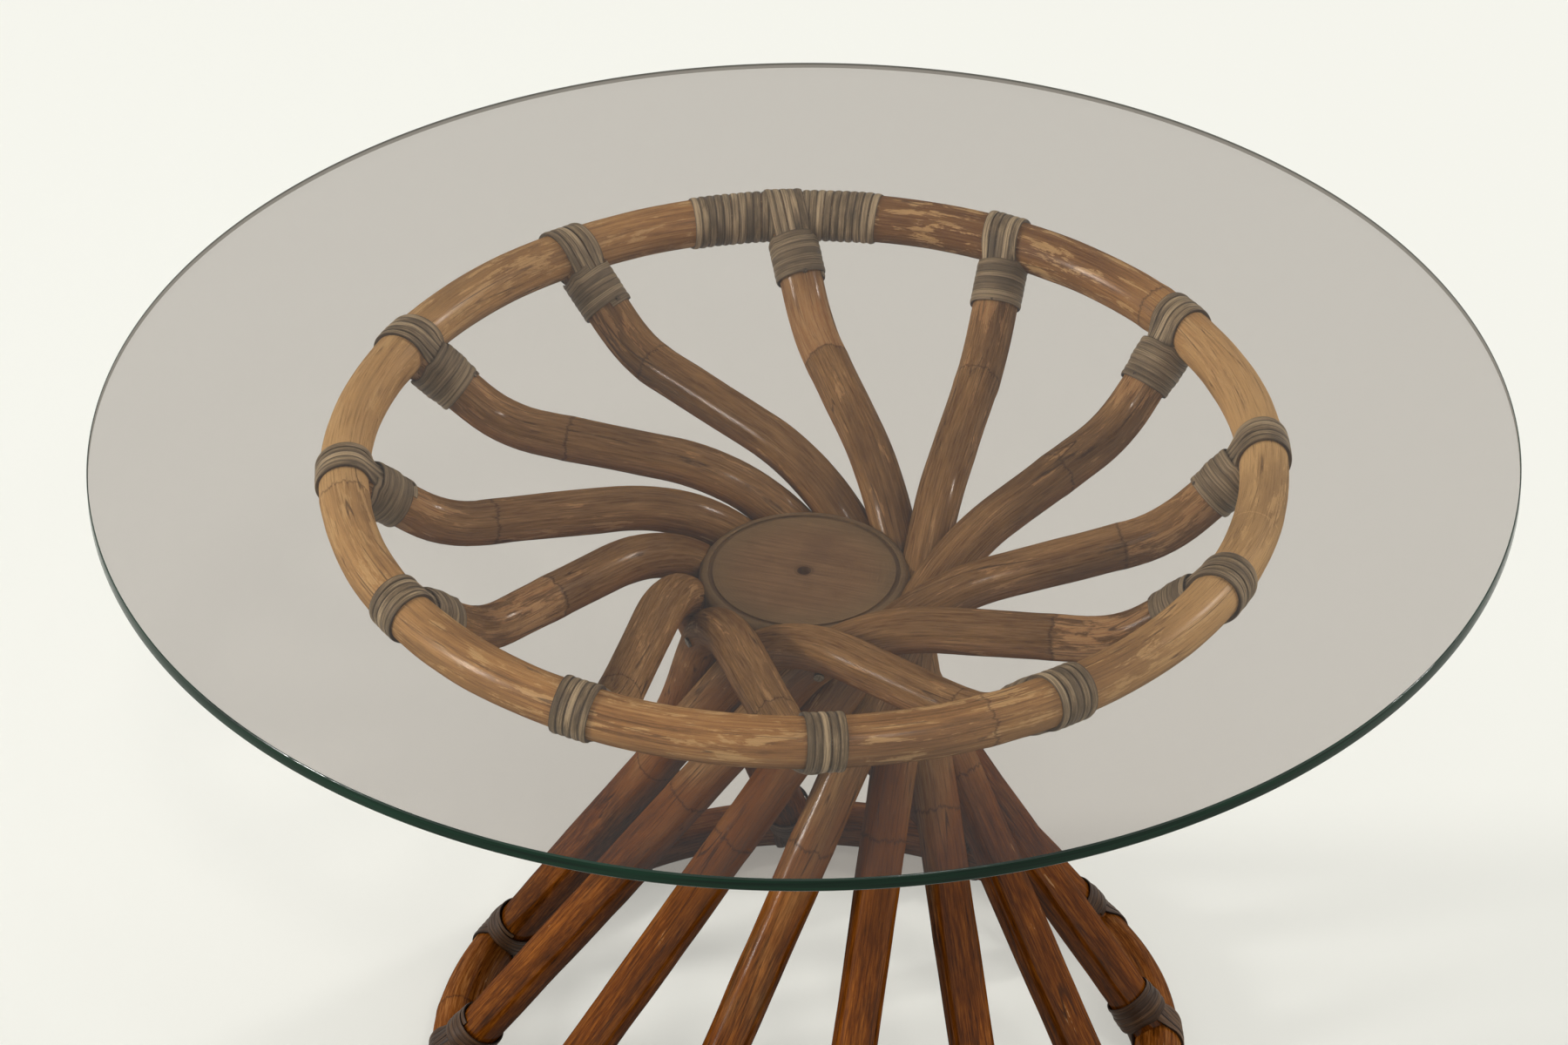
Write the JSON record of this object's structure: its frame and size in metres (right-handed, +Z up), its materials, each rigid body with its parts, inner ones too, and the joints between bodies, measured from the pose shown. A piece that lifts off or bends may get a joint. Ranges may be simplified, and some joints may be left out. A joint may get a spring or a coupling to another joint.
{
  "type": "rattan pedestal coffee table",
  "caption": "Round coffee table: a loose clear glass disc on a twisted hourglass pedestal of bent cane poles bound to a top and a base hoop, with a turned hub at the waist.",
  "frame": {"origin": "centre of the table's footprint, on the floor", "axes": "+Z up through the centre of the glass and of both hoops; -Y towards the picture's viewer"},
  "size_m": [0.7999, 0.8, 0.461],
  "materials": {
    "glass": "clear float glass, polished edge with a green cast",
    "cane_hoop": "lacquered cane, mottled honey brown, glossy",
    "cane_pole": "lacquered cane, reddish brown with grain streaks, satin",
    "split_cane": "split cane, greyish olive brown, matte",
    "split_cane_dark": "split cane, dark brown, matte",
    "hub_wood": "turned hardwood, stained brown, satin",
    "nail_steel": "plain steel nails, dull"
  },
  "bodies": {
    "pedestal": {"top_hoop": "cane_hoop", "base_hoop": "cane_hoop", "hub_disc": "hub_wood", "splice_winding_left": "split_cane", "splice_winding_right": "split_cane", "waist_nails": "nail_steel", "top_brads": "nail_steel", "base_brads": "nail_steel", "collar_pins": "nail_steel", "pole_01": "cane_pole", "pole_02": "cane_pole", "pole_03": "cane_pole", "pole_04": "cane_pole", "pole_05": "cane_pole", "pole_06": "cane_pole", "pole_07": "cane_pole", "pole_08": "cane_pole", "pole_09": "cane_pole", "pole_10": "cane_pole", "pole_11": "cane_pole", "pole_12": "cane_pole", "top_binding_01": "split_cane", "top_binding_02": "split_cane", "top_binding_03": "split_cane", "top_binding_04": "split_cane", "top_binding_05": "split_cane", "top_binding_06": "split_cane", "top_binding_07": "split_cane", "top_binding_08": "split_cane", "top_binding_09": "split_cane", "top_binding_10": "split_cane", "top_binding_11": "split_cane", "top_binding_12": "split_cane", "base_binding_01": "split_cane_dark", "base_binding_02": "split_cane_dark", "base_binding_03": "split_cane_dark", "base_binding_04": "split_cane_dark", "base_binding_05": "split_cane_dark", "base_binding_06": "split_cane_dark", "base_binding_07": "split_cane_dark", "base_binding_08": "split_cane_dark", "base_binding_09": "split_cane_dark", "base_binding_10": "split_cane_dark", "base_binding_11": "split_cane_dark", "base_binding_12": "split_cane_dark"},
    "glass": {"glass_top": "glass"}
  },
  "joints": [
    {"name": "glass_lift", "type": "slide", "parent": "pedestal", "child": "glass", "axis": [0, 0, 1], "range_m": [0, 0.1]}
  ]
}
